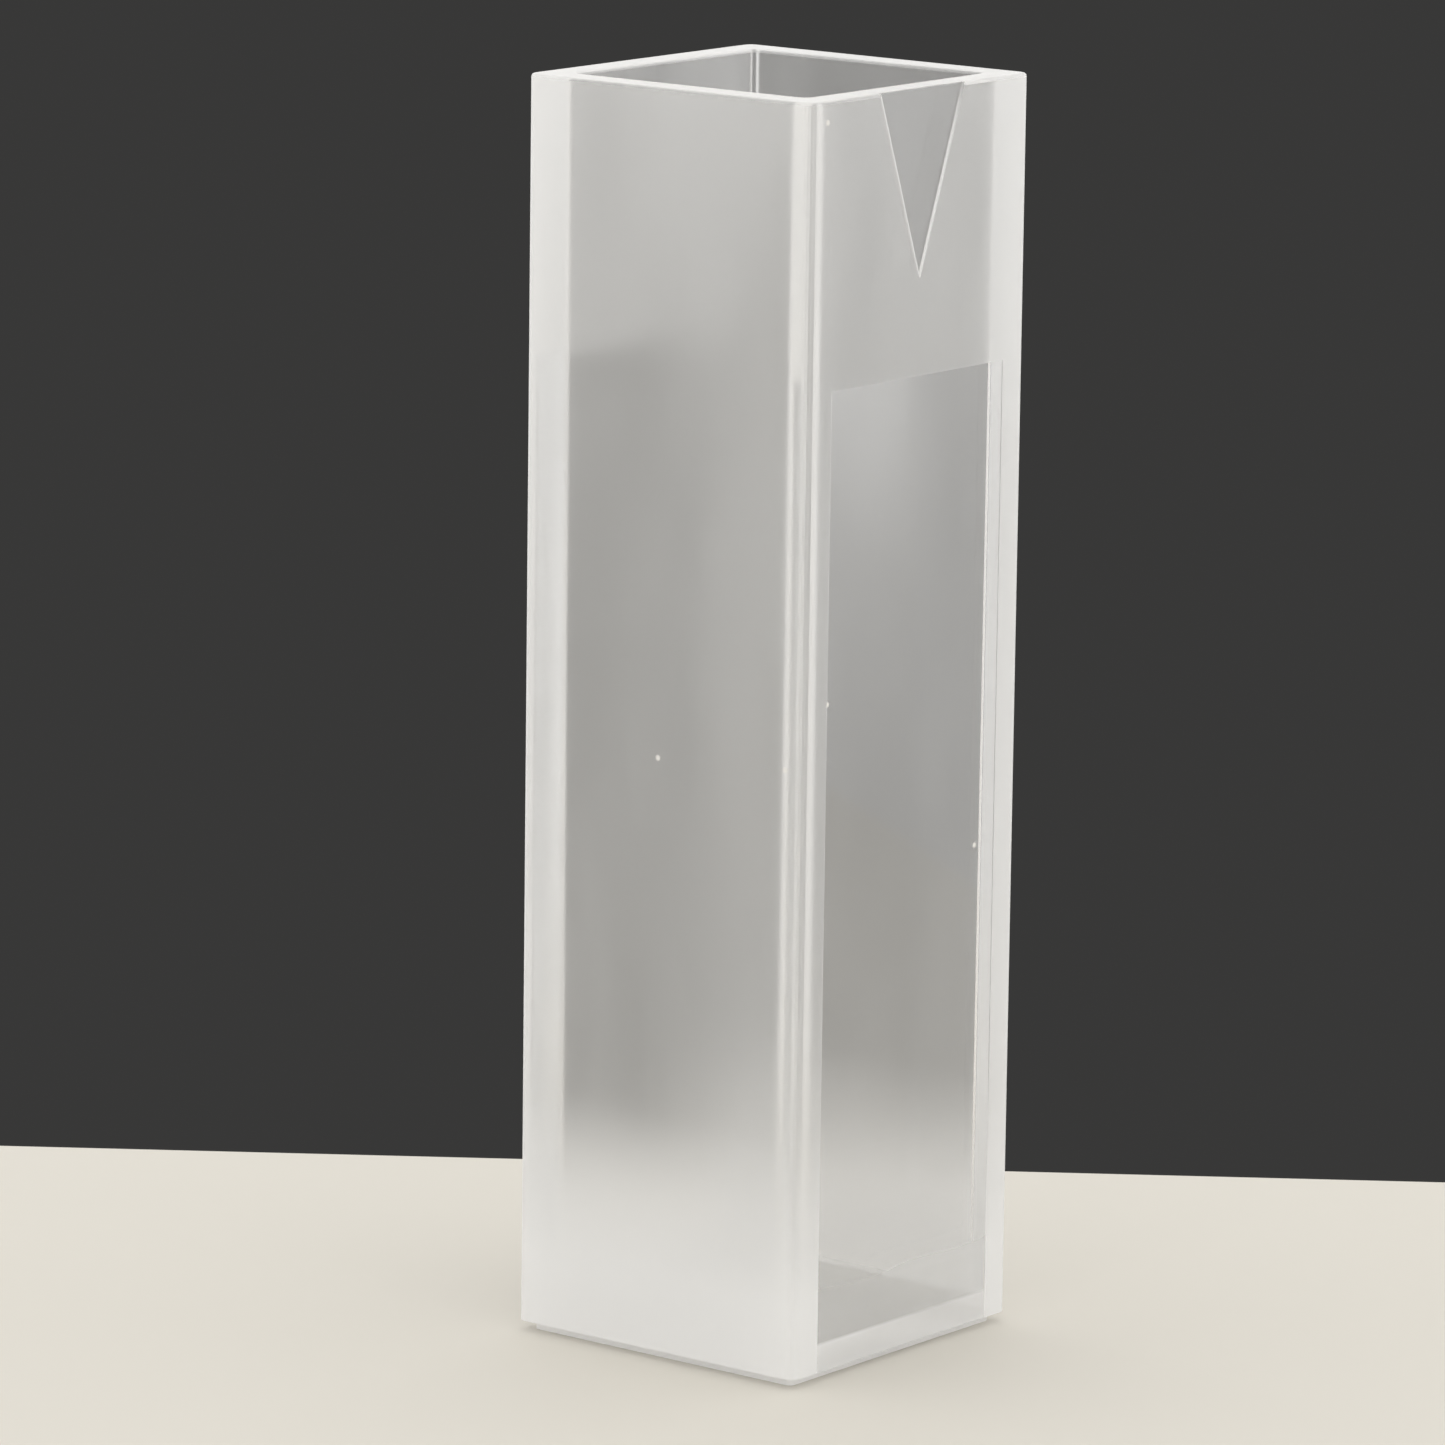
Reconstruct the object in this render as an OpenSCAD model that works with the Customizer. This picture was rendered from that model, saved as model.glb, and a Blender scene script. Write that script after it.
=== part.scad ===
// Square 10 mm cuvette, injection-moulded in one piece from clear polystyrene.
// The light passes along Y, through the two polished windows; the X sides are matt.
// Millimetres, +Z up. The origin is the middle of the underside.

/* [Body] */
// Width of the body over each pair of faces
body_w = 12.5; // [12:0.05:13.5]
// Height of the body, foot included
body_h = 45; // [38:0.5:60]
// Radius of the four upright outer edges
edge_r = 0.4; // [0.2:0.05:0.8]
// Radius of the edges of the rim
rim_r = 0.12; // [0.05:0.01:0.2]

/* [Pocket] */
// Light path, which is the clear width of the pocket at its floor
path_w = 10; // [9:0.05:10.6]
// Moulding draft that each wall of the pocket has lost by the rim
draft = 0.08; // [0.02:0.01:0.15]
// Thickness of the floor
floor_t = 1.1; // [0.8:0.05:3]
// Radius of the upright inner corners at the floor
corner_r = 0.3; // [0.2:0.05:1]
// Radius between the floor and the walls
floor_r = 0.25; // [0.1:0.05:1]

/* [Foot] */
// How far the foot stands back from the faces
foot_inset = 0.45; // [0.2:0.05:1]
// Height of the foot
foot_h = 0.35; // [0.2:0.05:0.8]

/* [Windows] */
// Width of each polished window
window_w = 9.8; // [6:0.1:10.6]
// Distance from the rim down to the top of a window
window_drop = 10; // [8:0.5:15]
// Depth of a window below the matt face
window_depth = 0.03; // [0.03:0.01:0.2]

/* [Light path mark] */
// Width of the triangle at the rim
mark_w = 4.8; // [2:0.1:8]
// Height of the triangle from the rim down to its point
mark_h = 6.6; // [3:0.1:7.5]
// Depth of the triangle below the matt face
mark_depth = 0.12; // [0.05:0.01:0.25]

/* [Hidden] */
$fn = 48;

body_half = body_w / 2;
foot_half = body_half - foot_inset;
foot_edge_r = max(edge_r - foot_inset, edge_r / 2);
path_half = path_w / 2;
// The fillet of the floor can't be larger than the corners that it runs around.
fillet_r = min(floor_r, corner_r);
draft_from = floor_t + fillet_r;
// How far a cutter reaches past the face or edge that it opens.
past = 1;
window_h = body_h - window_drop - foot_h + past;

// Carries a half-section around a square with round corners: straight along the four
// sides, and turned about the four corners. The half-section reads $reach, the
// distance from its inner end to the face.
module around_square(half, corner) {
    straight = 2 * (half - corner);
    for (side = [0:3])
        rotate([90, 0, 90 * side])
            linear_extrude(straight, center = true)
                let($reach = half) children();
    for (x = [-1, 1], y = [-1, 1])
        translate([x * (half - corner), y * (half - corner), 0])
            rotate_extrude()
                let($reach = corner) children();
}

// Keeps a section on its own side of the axis that the corners turn about.
module outward_only() {
    intersection() {
        children();
        square([body_w, body_h + 2 * past]);
    }
}

// Section of the outside, with the rounded edge of the rim.
module body_section() {
    outward_only() {
        translate([0, foot_h])
            square([$reach, body_h - foot_h - rim_r]);
        translate([0, foot_h])
            square([$reach - rim_r, body_h - foot_h]);
        translate([$reach - rim_r, body_h - rim_r])
            circle(rim_r);
    }
}

// Section of the foot, which reaches up into the floor.
module foot_section() {
    square([$reach, (foot_h + floor_t) / 2]);
}

// Section of the pocket: a rounded bottom edge, a drafted wall and a flared mouth.
module pocket_section() {
    mouth = $reach + draft;
    mouth_from = body_h - rim_r;
    translate([0, floor_t])
        square([$reach - fillet_r, fillet_r]);
    outward_only()
        translate([$reach - fillet_r, draft_from])
            circle(fillet_r);
    polygon([[0, draft_from], [$reach, draft_from], [mouth, mouth_from], [0, mouth_from]]);
    difference() {
        translate([0, mouth_from])
            square([mouth + rim_r, rim_r + past]);
        translate([mouth + rim_r, mouth_from])
            circle(rim_r);
    }
}

// One window, as a shallow recess in the face at -Y that runs out at the lower edge.
module window_recess() {
    translate([0, window_depth - body_half, foot_h - past])
        rotate([90, 0, 0])
            linear_extrude(window_depth + past)
                translate([-window_w / 2, 0])
                    square([window_w, window_h]);
}

// The triangle that marks the light path, as a shallow recess that runs out at the rim.
module mark_recess() {
    wider = (mark_h + past) / mark_h;
    translate([0, mark_depth - body_half, body_h - mark_h])
        rotate([90, 0, 0])
            linear_extrude(mark_depth + past)
                scale(wider)
                    polygon([[0, 0], [mark_w / 2, mark_h], [-mark_w / 2, mark_h]]);
}

module cuvette_body() {
    color("gainsboro", 0.5)
        difference() {
            union() {
                around_square(body_half, edge_r) body_section();
                around_square(foot_half, foot_edge_r) foot_section();
            }
            around_square(path_half, corner_r) pocket_section();
            for (turn = [0, 180])
                rotate(turn) window_recess();
            mark_recess();
        }
}

cuvette_body();
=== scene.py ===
import math

import bmesh
import bpy
from mathutils import Matrix, Vector


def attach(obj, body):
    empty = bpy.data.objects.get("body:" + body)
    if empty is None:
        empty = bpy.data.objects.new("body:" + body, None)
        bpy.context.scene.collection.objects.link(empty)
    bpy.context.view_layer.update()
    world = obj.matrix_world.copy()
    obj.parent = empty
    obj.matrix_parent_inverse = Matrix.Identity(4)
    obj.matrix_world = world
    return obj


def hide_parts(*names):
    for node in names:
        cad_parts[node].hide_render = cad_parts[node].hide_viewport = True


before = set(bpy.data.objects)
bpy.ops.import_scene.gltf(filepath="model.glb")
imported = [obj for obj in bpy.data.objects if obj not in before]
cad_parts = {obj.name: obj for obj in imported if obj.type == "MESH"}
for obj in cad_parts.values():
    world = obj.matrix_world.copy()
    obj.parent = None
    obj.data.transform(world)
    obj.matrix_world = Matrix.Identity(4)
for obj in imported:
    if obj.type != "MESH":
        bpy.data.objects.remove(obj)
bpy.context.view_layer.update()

MM = 0.001

# ---------------------------------------------------------------- sizes, in millimetres
BODY_WIDTH = 12.5
BODY_HEIGHT = 45.0
UPRIGHT_EDGE_RADIUS = 0.4
RIM_RADIUS = 0.12
LIGHT_PATH = 10.0
DRAFT = 0.08
FLOOR_THICKNESS = 1.1
INNER_CORNER_RADIUS = 0.3
FLOOR_FILLET = 0.25
FOOT_INSET = 0.45
FOOT_HEIGHT = 0.35
FOOT_EDGE_RADIUS = 0.2
WINDOW_WIDTH = 9.8
WINDOW_TOP = 35.0
WINDOW_DEPTH = 0.03
MARK_WIDTH = 4.8
MARK_HEIGHT = 6.6
MARK_DEPTH = 0.12
FACE = BODY_WIDTH / 2
# Heights are found again in the mesh to within this much.
NEAR = 1e-5
# A face's centre lies on a surface if it is this close to it.
ON_SURFACE = 0.01
# How far a plug reaches past the face or edge that it opens.
PAST = 1.0
# How much of a face's normal lies along an axis: a face leans towards the axis from the
# first value on, looks along it from the second, and is square to it from the third.
LEANING, FACING, SQUARE = 0.5, 0.99, 0.9999

# Flat facets in a quarter turn.
UPRIGHT_FACETS, FLOOR_FACETS, RIM_FACETS = 6, 10, 4


def linear(hex_colour):
    """Turn an sRGB hex colour into the linear RGBA that a shader reads."""
    rgb = []
    for start in (1, 3, 5):
        c = int(hex_colour[start:start + 2], 16) / 255
        rgb.append(c / 12.92 if c <= 0.04045 else ((c + 0.055) / 1.055) ** 2.4)
    return (*rgb, 1.0)


# ---------------------------------------------------------------- the moulded body
def rounded_square(bm, half, radius, z):
    """Lay a flat square with round corners at height z and return its face."""
    laid = bmesh.ops.create_grid(bm, x_segments=1, y_segments=1, size=half,
                                 matrix=Matrix.Translation((0, 0, z)))
    bmesh.ops.bevel(bm, geom=laid["verts"], offset=radius, offset_type="OFFSET",
                    segments=UPRIGHT_FACETS, profile=0.5, affect="VERTICES", material=-1)
    level = [f for f in bm.faces if all(abs(v.co.z - z) < NEAR for v in f.verts)]
    return max(level, key=lambda f: f.calc_area())


def tower(bm, half, radius, bottom, top, flare=0.0):
    """Raise a rounded square into an upright tube, wider by the flare at its top."""
    lower = rounded_square(bm, half, radius, bottom)
    raised = bmesh.ops.extrude_face_region(bm, geom=[lower])["geom"]
    for v in (g for g in raised if isinstance(g, bmesh.types.BMVert)):
        v.co.x += math.copysign(flare, v.co.x)
        v.co.y += math.copysign(flare, v.co.y)
        v.co.z = top
    upper = next(g for g in raised if isinstance(g, bmesh.types.BMFace))
    return lower, upper


def round_over(bm, edges, radius, facets):
    """Round the edges off to a radius."""
    bmesh.ops.bevel(bm, geom=edges, offset=radius, offset_type="OFFSET", segments=facets,
                    profile=0.5, affect="EDGES", material=-1)


def moulding():
    """Outside, pocket and foot as one closed skin, with its edges rounded."""
    bm = bmesh.new()
    outer_low, outer_high = tower(bm, FACE, UPRIGHT_EDGE_RADIUS, FOOT_HEIGHT, BODY_HEIGHT)
    rim_outer, skirt = list(outer_high.edges), list(outer_low.edges)
    bmesh.ops.delete(bm, geom=[outer_low, outer_high], context="FACES_ONLY")

    pocket_floor, mouth = tower(bm, LIGHT_PATH / 2, INNER_CORNER_RADIUS, FLOOR_THICKNESS,
                                BODY_HEIGHT, DRAFT)
    rim_inner, floor_edges = list(mouth.edges), list(pocket_floor.edges)
    bmesh.ops.delete(bm, geom=[mouth], context="FACES_ONLY")

    _, foot_high = tower(bm, FACE - FOOT_INSET, FOOT_EDGE_RADIUS, 0.0, FOOT_HEIGHT)
    foot_edges = list(foot_high.edges)
    bmesh.ops.delete(bm, geom=[foot_high], context="FACES_ONLY")

    bmesh.ops.bridge_loops(bm, edges=rim_outer + rim_inner)
    bmesh.ops.bridge_loops(bm, edges=skirt + foot_edges)
    bmesh.ops.recalc_face_normals(bm, faces=bm.faces)

    round_over(bm, floor_edges, FLOOR_FILLET, FLOOR_FACETS)
    rim = [e for e in bm.edges
           if all(abs(v.co.z - BODY_HEIGHT) < NEAR for v in e.verts)
           and any(abs(f.normal.z) < LEANING for f in e.link_faces)]
    round_over(bm, rim, RIM_RADIUS, RIM_FACETS)
    return bm


def sunk_plug(bm, outline, side, depth):
    """A block that sinks an outline of (x, z) points into the face on that side of Y."""
    face = bm.faces.new([bm.verts.new((x, side * (FACE - depth), z)) for x, z in outline])
    for g in bmesh.ops.extrude_face_region(bm, geom=[face])["geom"]:
        if isinstance(g, bmesh.types.BMVert):
            g.co.y += side * (depth + PAST)


def recess_plugs():
    """The two windows, open at the lower edge, and the triangle, open at the rim."""
    bm = bmesh.new()
    half = WINDOW_WIDTH / 2
    low = FOOT_HEIGHT - PAST
    for side in (-1, 1):
        sunk_plug(bm, [(-half, low), (half, low), (half, WINDOW_TOP), (-half, WINDOW_TOP)],
                  side, WINDOW_DEPTH)
    wide = (MARK_HEIGHT + PAST) / MARK_HEIGHT * MARK_WIDTH / 2
    high = BODY_HEIGHT + PAST
    sunk_plug(bm, [(0, BODY_HEIGHT - MARK_HEIGHT), (wide, high), (-wide, high)], -1,
              MARK_DEPTH)
    bmesh.ops.recalc_face_normals(bm, faces=bm.faces)
    return bm


def piece(name, bm):
    """Turn a bmesh drawn in millimetres into an object in metres at the origin."""
    bmesh.ops.scale(bm, vec=(MM, MM, MM), verts=bm.verts)
    mesh = bpy.data.meshes.new(name)
    bm.to_mesh(mesh)
    bm.free()
    made = bpy.data.objects.new(name, mesh)
    bpy.context.scene.collection.objects.link(made)
    return made


def cut_away(body, plugs):
    """Take the plugs out of the body and keep the result as its mesh."""
    cut = body.modifiers.new("recesses", "BOOLEAN")
    cut.object, cut.operation, cut.solver = plugs, "DIFFERENCE", "EXACT"
    graph = bpy.context.evaluated_depsgraph_get()
    finished = bpy.data.meshes.new_from_object(body.evaluated_get(graph))
    body.modifiers.clear()
    body.data = finished
    bpy.data.objects.remove(plugs)


cuvette = piece("cuvette", moulding())
cut_away(cuvette, piece("recess_plugs", recess_plugs()))


# ---------------------------------------------------------------- materials
def add(tree, kind, settings=None, **links):
    """Add a node, set its properties and plain inputs, and link the named inputs. An
    input known only by its place is named by an underscore and the place, as in _0."""
    node = tree.nodes.new(kind)
    for key, value in (settings or {}).items():
        if isinstance(key, str) and hasattr(node, key):
            setattr(node, key, value)
        else:
            node.inputs[key].default_value = value
    for key, source in links.items():
        socket = int(key[1:]) if key[0] == "_" else key.replace("_", " ")
        tree.links.new(source, node.inputs[socket])
    return node


def blank(name):
    """A material without nodes, and its node tree."""
    made = bpy.data.materials.new(name)
    made.use_nodes = True
    made.node_tree.nodes.clear()
    return made, made.node_tree


POLYSTYRENE_IOR = 1.59
# Neither the plastic nor its haze has a tint.
WATER_WHITE = "#FFFFFF"
# Cloudy flow of the melt: its width in mm, and how much less it varies along the height.
CLOUD_WIDTH = 4.0
CLOUD_STRETCH = 0.35
# Between the thin and the thick of the clouds, gloss and haze each change from this
# much below their value to as much above it.
UNEVENNESS = 0.15
GLOSS_THIN, GLOSS_THICK = 0.3, 0.7
HAZE_THIN, HAZE_THICK = 0.25, 0.75
# Share of the scattered light that goes on forwards, and the same for the milky base.
FORWARD = 0.5
BASE_FORWARD = 0.35
# The plastic turns milky towards the floor: from the first height, in mm, and fully at
# the second.
BASE_FROM, BASE_FULL = 9.0, 3.0
# The same beside the solid floor, from just above the round of its upper edge.
SLAB_FROM, SLAB_FULL = 1.5, 1.3

# Specks of dust on the outside, each at its place in mm.
SPECKS = [(-6.25, 0.08, 21.62), (-6.25, -5.51, 21.95), (-5.35, -6.25, 44.26),
          (-4.85, -6.25, 24.12), (3.81, -6.22, 17.82)]
SPECK_RADIUS = 0.13
SPECK_COVER = 0.8
DUST_COLOUR = "#F2F0EC"


def dusted(tree, place, skin):
    """Lay the specks of dust, off-white and dull, over a skin."""
    dust = add(tree, "ShaderNodeBsdfDiffuse", {"Color": linear(DUST_COLOUR)})
    found = None
    for speck in SPECKS:
        away = add(tree, "ShaderNodeVectorMath",
                   {"operation": "DISTANCE", 1: tuple(c * MM for c in speck)}, _0=place)
        spot = add(tree, "ShaderNodeMapRange",
                   {"From Min": SPECK_RADIUS * MM, "From Max": SPECK_RADIUS * MM / 2,
                    "To Max": SPECK_COVER}, Value=away.outputs["Value"]).outputs[0]
        found = spot if found is None else add(
            tree, "ShaderNodeMath", {"operation": "MAXIMUM"}, _0=found, _1=spot).outputs[0]
    return add(tree, "ShaderNodeMixShader", None, _0=found, _1=skin,
               _2=dust.outputs[0]).outputs[0]


def hazed(tree, place, cloud, skin, haze, turned_haze, base_haze, slab_haze):
    """Mix a skin with the light that its pits and the milky base scatter."""
    back = add(tree, "ShaderNodeBsdfDiffuse", {"Color": linear(WATER_WHITE)})
    through = add(tree, "ShaderNodeBsdfTranslucent", {"Color": linear(WATER_WHITE)})
    scatter, milky = (
        add(tree, "ShaderNodeMixShader", {0: forward}, _1=back.outputs[0],
            _2=through.outputs[0]) for forward in (FORWARD, BASE_FORWARD))

    turned = add(tree, "ShaderNodeFresnel", {"IOR": POLYSTYRENE_IOR})
    even = add(tree, "ShaderNodeMapRange", {"To Min": haze, "To Max": turned_haze},
               Value=turned.outputs[0])
    clouds = add(tree, "ShaderNodeMapRange",
                 {"From Min": HAZE_THIN, "From Max": HAZE_THICK,
                  "To Min": 1 - UNEVENNESS, "To Max": 1 + UNEVENNESS}, Value=cloud)
    amount = add(tree, "ShaderNodeMath", {"operation": "MULTIPLY"}, _0=even.outputs[0],
                 _1=clouds.outputs[0])

    height = add(tree, "ShaderNodeSeparateXYZ", None, Vector=place)
    base, slab = (
        add(tree, "ShaderNodeMapRange",
            {"From Min": start * MM, "From Max": full * MM, "To Max": most},
            Value=height.outputs["Z"])
        for start, full, most in ((BASE_FROM, BASE_FULL, base_haze),
                                  (SLAB_FROM, SLAB_FULL, slab_haze)))
    milkiness = add(tree, "ShaderNodeMath", {"operation": "MAXIMUM"}, _0=base.outputs[0],
                    _1=slab.outputs[0])
    pitted = add(tree, "ShaderNodeMixShader", None, _0=amount.outputs[0], _1=skin,
                 _2=scatter.outputs[0])
    return add(tree, "ShaderNodeMixShader", None, _0=milkiness.outputs[0],
               _1=pitted.outputs[0], _2=milky.outputs[0]).outputs[0]


def clear_polystyrene(name, roughness, pit_size, pit_depth, haze=0.0, turned_haze=0.0,
                      base_haze=0.0, slab_haze=0.0, dusty=False):
    """Injection-moulded clear polystyrene. The skin copies the steel that formed it, so
    the roughness, the pits (their spacing and depth in mm) and the haze are those of the
    cavity wall. Haze is the part of the light that the pits scatter at the skin. It grows
    to turned_haze for light that the skin turns back into the plastic, to base_haze
    towards the floor, and to slab_haze beside the solid floor itself."""
    made, tree = blank(name)
    place = add(tree, "ShaderNodeTexCoord").outputs["Object"]
    # Object coordinates are in metres, so a scale of 1000 / mm gives cells of that size.
    pits = add(tree, "ShaderNodeTexNoise",
               {"Scale": 1000 / pit_size, "Detail": 2.0, "Roughness": 0.6}, Vector=place)
    flow = add(tree, "ShaderNodeMapping", {"Scale": (1.0, 1.0, CLOUD_STRETCH)},
               Vector=place)
    cloud = add(tree, "ShaderNodeTexNoise", {"Scale": 1000 / CLOUD_WIDTH, "Detail": 3.0},
                Vector=flow.outputs[0]).outputs["Fac"]
    gloss = add(tree, "ShaderNodeMapRange",
                {"From Min": GLOSS_THIN, "From Max": GLOSS_THICK,
                 "To Min": roughness * (1 - UNEVENNESS),
                 "To Max": roughness * (1 + UNEVENNESS)}, Value=cloud)
    bump = add(tree, "ShaderNodeBump", {"Strength": 1.0, "Distance": pit_depth * MM},
               Height=pits.outputs["Fac"])
    result = add(tree, "ShaderNodeBsdfPrincipled",
                 {"Base Color": linear(WATER_WHITE), "Transmission Weight": 1.0,
                  "IOR": POLYSTYRENE_IOR},
                 Roughness=gloss.outputs[0], Normal=bump.outputs[0]).outputs[0]
    if turned_haze or base_haze:
        result = hazed(tree, place, cloud, result, haze, turned_haze, base_haze, slab_haze)
    if dusty:
        result = dusted(tree, place, result)
    add(tree, "ShaderNodeOutputMaterial", None, Surface=result)
    return made


# Two rules keep a render clean, because the noise filter draws a line along the contour
# where a finish passes from clear to dull: a finish stays on one side of a roughness of
# 0.27, and haze that fades in on a clear finish stays under a quarter. The sudden haze
# beside the solid floor may be more, as it begins along a real edge.
FINISHES = {
    # Polished steel: clear, with a trace of ripple and of rubbing, milky at the base.
    "window": clear_polystyrene("polystyrene_off_polished_steel", 0.03, 1.5, 0.0004,
                                haze=0.05, turned_haze=0.08, base_haze=0.22,
                                slab_haze=0.6, dusty=True),
    # Spark-eroded steel: a soft matt, with pits of about 0.05 mm, drawn 0.12 mm wide so
    # that they show.
    "matt": clear_polystyrene("polystyrene_off_spark_eroded_steel", 0.34, 0.12, 0.002,
                              haze=0.17, turned_haze=1.0, base_haze=0.95, dusty=True),
    # Ground steel: the flat of the rim, a fine satin with more haze.
    "rim": clear_polystyrene("polystyrene_off_ground_steel", 0.12, 0.15, 0.002,
                             haze=0.34, turned_haze=0.50),
    # Steel cut by hand and brightened: the triangle, nearly clear but wavy.
    "mark": clear_polystyrene("polystyrene_off_hand_cut_steel", 0.20, 0.9, 0.020,
                              turned_haze=0.05),
    # The flat plate that the base insert stands on: the underside, a light satin.
    "underside": clear_polystyrene("polystyrene_off_base_plate", 0.10, 0.12, 0.002,
                                   haze=0.05, turned_haze=0.15),
    # The tip of the core: the pocket's floor, smooth but cloudy.
    "floor": clear_polystyrene("polystyrene_off_core_tip", 0.05, 0.6, 0.002,
                               haze=0.50, turned_haze=0.60),
    # The polished sides of the core: the pocket's walls, clear.
    "pocket": clear_polystyrene("polystyrene_off_polished_core", 0.03, 1.5, 0.0004),
}


# The round below the pocket's walls counts as floor where this much of its normal is up.
FLOOR_TILT = 0.3


def finish_of(centre, normal):
    """Which finish a face has, from its centre in mm and its normal."""
    faces_y = abs(normal.y) > FACING
    outward = max(abs(centre.x), abs(centre.y))
    inside = (outward < LIGHT_PATH / 2 + FLOOR_FILLET
              and centre.z > FLOOR_THICKNESS - ON_SURFACE)
    if centre.z > BODY_HEIGHT - RIM_RADIUS - ON_SURFACE:
        return "rim"
    if inside and normal.z > FLOOR_TILT and centre.z < FLOOR_THICKNESS + FLOOR_FILLET:
        return "floor"
    if (faces_y and abs(centre.y + FACE - MARK_DEPTH) < ON_SURFACE
            and centre.z > BODY_HEIGHT - MARK_HEIGHT):
        return "mark"
    if normal.z < -LEANING and centre.z < FOOT_HEIGHT + ON_SURFACE:
        return "underside"
    if min(abs(centre.x), abs(centre.y)) > FACE - UPRIGHT_EDGE_RADIUS:
        return "matt"
    if inside:
        return "pocket"
    if (faces_y and abs(abs(centre.y) - (FACE - WINDOW_DEPTH)) < ON_SURFACE
            and abs(centre.x) < WINDOW_WIDTH / 2 and centre.z < WINDOW_TOP):
        return "window"
    return "matt"


cuvette.data.materials.clear()
for plastic in FINISHES.values():
    cuvette.data.materials.append(plastic)
for p in cuvette.data.polygons:
    finish = finish_of(p.center / MM, p.normal)
    p.material_index = list(FINISHES).index(finish)
    # Round stretches are smoothed, but the facets of the matt corners stay flat, because
    # a smoothed normal would darken the haze on them.
    p.use_smooth = finish != "matt" and max(abs(c) for c in p.normal) < SQUARE

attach(cuvette, "root")
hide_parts("cuvette_body")

# ---------------------------------------------------------------- camera
AZIMUTH, ELEVATION, ROLL = (math.radians(a) for a in (-51.797, 11.19, 0.74))
# The point that the camera stands off from, and how far in mm, backwards, sideways and
# downwards.
AIM = Vector((0, 0, 22))
DISTANCE, ASIDE, DOWN = 293.64, 1.703, 0.036
SENSOR_WIDTH = 36
FOCAL_PIXELS, FRAME_PIXELS = 8317.5, 1445

upward = Vector((0, 0, 1))
back = Vector((math.sin(AZIMUTH) * math.cos(ELEVATION),
               -math.cos(AZIMUTH) * math.cos(ELEVATION), math.sin(ELEVATION)))
level_right = (-back).cross(upward).normalized()
level_up = level_right.cross(-back)
right = math.cos(ROLL) * level_right + math.sin(ROLL) * level_up
up = math.cos(ROLL) * level_up - math.sin(ROLL) * level_right

lens = bpy.data.cameras.new("camera")
lens.sensor_width = SENSOR_WIDTH
lens.lens = SENSOR_WIDTH * FOCAL_PIXELS / FRAME_PIXELS
lens.clip_start, lens.clip_end = 0.01, 10
camera = bpy.data.objects.new("camera", lens)
bpy.context.scene.collection.objects.link(camera)
stand = Matrix((right, up, back)).transposed().to_4x4()
stand.translation = (AIM + back * DISTANCE - right * ASIDE - up * DOWN) * MM
camera.matrix_world = stand
bpy.context.scene.camera = camera

# ---------------------------------------------------------------- table
TABLE_BEHIND = 23.2    # from the middle of the cuvette to the table's back edge
TABLE_TURN = 2.9       # degrees by which that edge is out of square to the view
TABLE_SIZE = (3000.0, 1500.0)
# The table lies a hair below the foot, so that the two skins don't share a plane.
TABLE_LEVEL = -0.03
# Board with a coat of warm off-white matt paint.
TABLE_COLOUR = "#DAD6CD"

toward = (Matrix.Rotation(math.radians(-TABLE_TURN), 3, "Z")
          @ Vector((back.x, back.y, 0))).normalized()
# A square of side 1 is stretched to the table's size.
top = bmesh.new()
bmesh.ops.create_grid(top, x_segments=1, y_segments=1, size=0.5,
                      matrix=Matrix.Diagonal((*TABLE_SIZE, 1, 1)))
laid = Matrix((upward.cross(toward), toward, upward)).transposed().to_4x4()
laid.translation = toward * (TABLE_SIZE[1] / 2 - TABLE_BEHIND) + upward * TABLE_LEVEL
bmesh.ops.transform(top, matrix=laid, verts=top.verts)
table = piece("table", top)
painted, tree = blank("painted_board")
paint = add(tree, "ShaderNodeBsdfPrincipled",
            {"Base Color": linear(TABLE_COLOUR), "Roughness": 0.7,
             "Specular IOR Level": 0.2})
add(tree, "ShaderNodeOutputMaterial", None, Surface=paint.outputs[0])
table.data.materials.append(painted)

# ---------------------------------------------------------------- soft studio light
# The room is lit evenly, a little less behind the cuvette. A dark screen stands there,
# below eye level, and a bench as pale as the table carries on to the right of it.
ROOM, BEHIND, SCREEN, BENCH = 1.14, 0.98, 0.040, 0.72
ROOM_COLOUR = "#FFFEFC"
# What the camera sees straight past the cuvette is kept below white.
BACKDROP_LIMIT = 0.80
# One narrow soft box far to the right is mirrored in the windows: its full light, and
# the weaker light that it spills below itself. Each has a strength and the two heights
# in degrees between which it fades in.
SOFT_BOX = ((0.902, -10.1, -8.7), (0.198, -13, -10.5))

world = bpy.data.worlds.new("studio")
bpy.context.scene.world = world
world.use_nodes = True
tree = world.node_tree
tree.nodes.clear()


def zone(*edges):
    """A part of the room, 1 inside and 0 outside. Each edge is an angle and the two
    degrees, outer and inner, between which the zone fades in."""
    inside = None
    for angle, outer, inner in edges:
        edge = add(tree, "ShaderNodeMapRange",
                   {"interpolation_type": "SMOOTHSTEP", "From Min": math.radians(outer),
                    "From Max": math.radians(inner)}, Value=angle).outputs["Result"]
        inside = edge if inside is None else add(
            tree, "ShaderNodeMath", {"operation": "MULTIPLY"}, _0=inside,
            _1=edge).outputs[0]
    return inside


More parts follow.
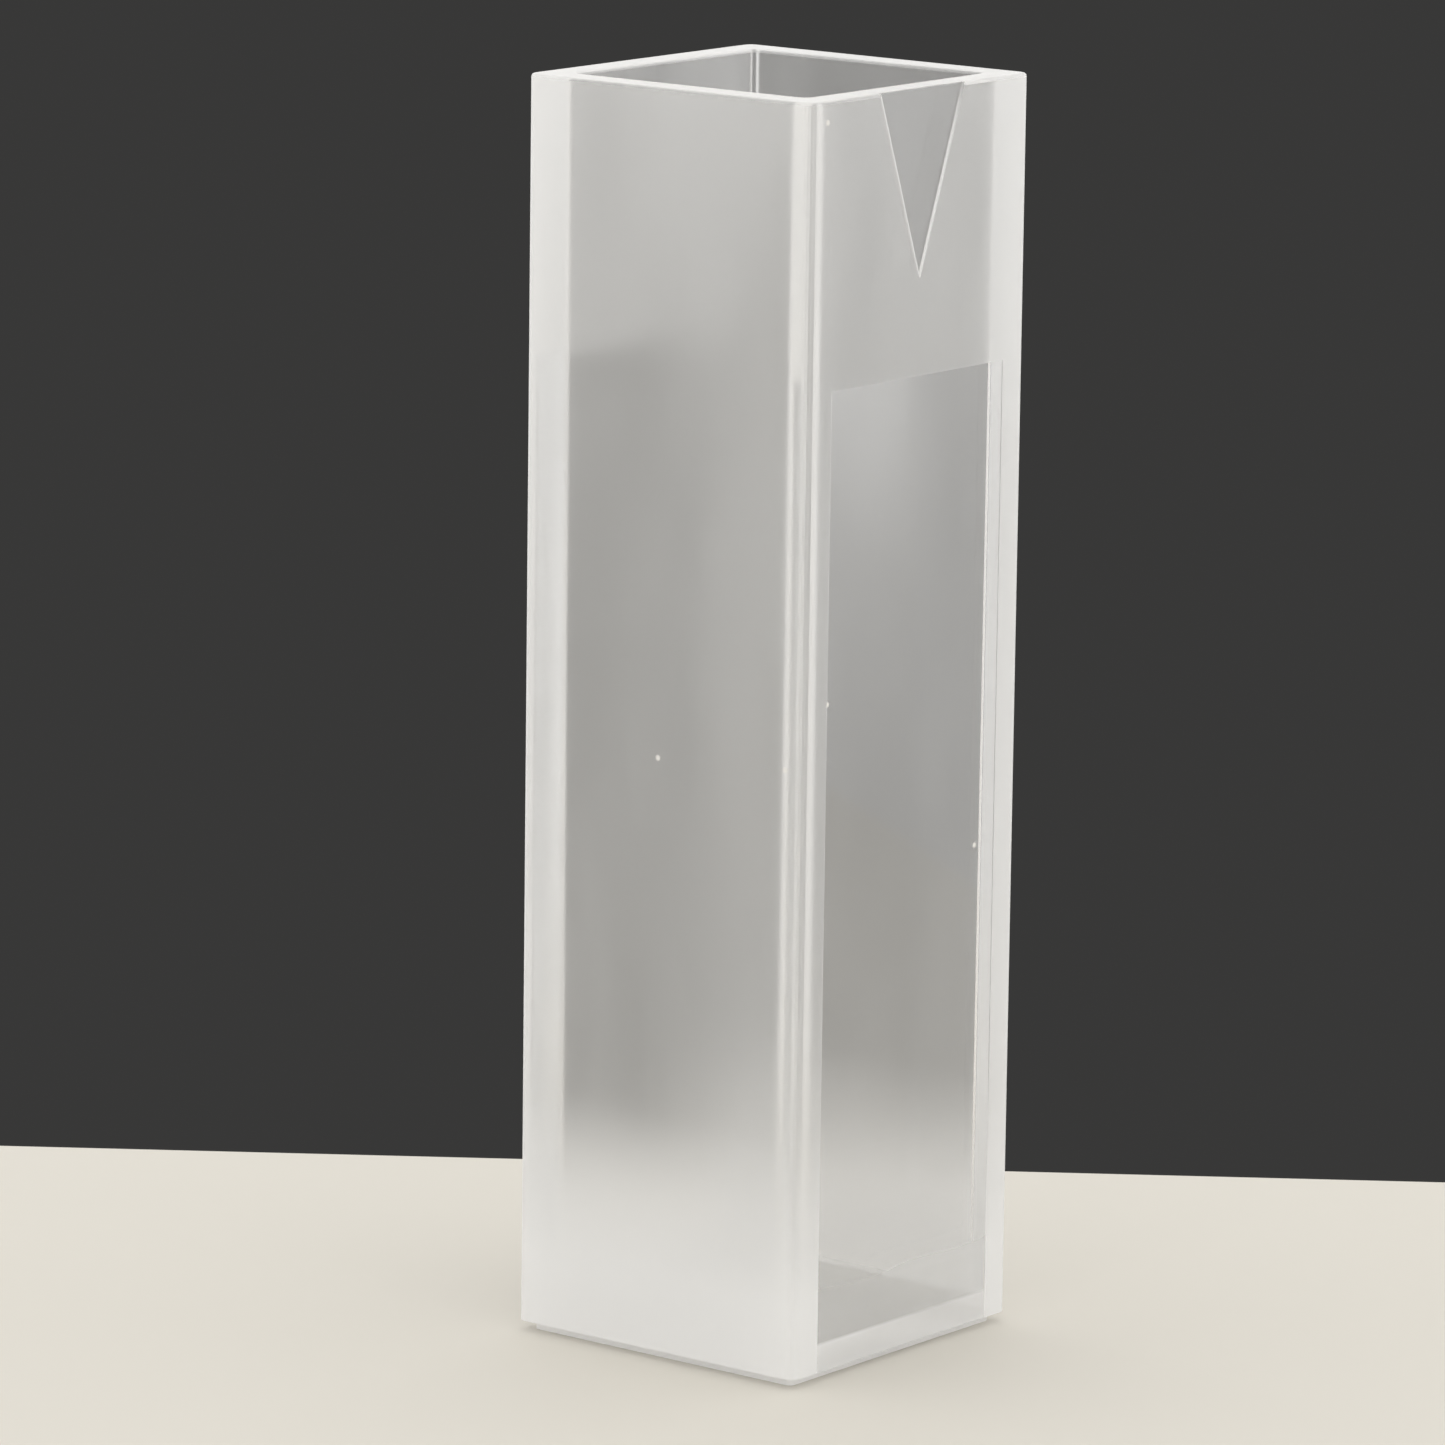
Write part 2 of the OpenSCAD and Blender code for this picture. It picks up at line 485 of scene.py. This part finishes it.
# The sky by angles: how far to the right of the view, how far to either side, how high.
sky = add(tree, "ShaderNodeSeparateXYZ", None,
          Vector=add(tree, "ShaderNodeTexCoord").outputs["Generated"])
bearing = add(tree, "ShaderNodeMath", {"operation": "ARCTAN2"}, _0=sky.outputs["Y"],
              _1=sky.outputs["X"])
from_view = add(tree, "ShaderNodeMath",
                {"operation": "SUBTRACT", 0: math.atan2(-back.y, -back.x)},
                _1=bearing.outputs[0])
to_right = add(tree, "ShaderNodeMath", {"operation": "WRAP", 1: math.pi, 2: -math.pi},
               _0=from_view.outputs[0]).outputs[0]
to_side = add(tree, "ShaderNodeMath", {"operation": "ABSOLUTE"}, _0=to_right).outputs[0]
height = add(tree, "ShaderNodeMath", {"operation": "ARCSINE"},
             _0=sky.outputs["Z"]).outputs[0]

light = add(tree, "ShaderNodeMix", {"data_type": "FLOAT", 2: ROOM, 3: BEHIND},
            _0=zone((to_side, 55, 35), (height, 50, 30))).outputs[0]
for brightness, part in ((SCREEN, zone((to_side, 24, 18), (height, 3, -2))),
                         (BENCH, zone((to_right, 45, 60), (to_right, 110, 95),
                                      (height, -8.5, -11.5)))):
    light = add(tree, "ShaderNodeMix", {"data_type": "FLOAT", 3: brightness}, _0=part,
                _2=light).outputs[0]
backdrop = add(tree, "ShaderNodeMath", {"operation": "MINIMUM", 1: BACKDROP_LIMIT},
               _0=light)
for strength, dark, full in SOFT_BOX:
    box = zone((to_right, 75.11, 75.15), (to_right, 96, 90), (height, -8.2, -8.5),
               (height, dark, full))
    light = add(tree, "ShaderNodeMath", {"operation": "MULTIPLY_ADD", 1: strength},
                _0=box, _2=light).outputs[0]

seen = add(tree, "ShaderNodeLightPath")
level = add(tree, "ShaderNodeMix", {"data_type": "FLOAT"},
            _0=seen.outputs["Is Camera Ray"], _2=light, _3=backdrop.outputs[0])
glow = add(tree, "ShaderNodeBackground", {"Color": linear(ROOM_COLOUR)},
           Strength=level.outputs[0])
add(tree, "ShaderNodeOutputWorld", None, Surface=glow.outputs[0])

# ---------------------------------------------------------------- view and light paths
scene = bpy.context.scene
scene.view_settings.view_transform = "Standard"
# A ray meets many walls in a clear box before it leaves it.
scene.cycles.max_bounces = 24
scene.cycles.transmission_bounces = 24
scene.cycles.glossy_bounces = 12
scene.cycles.diffuse_bounces = 4
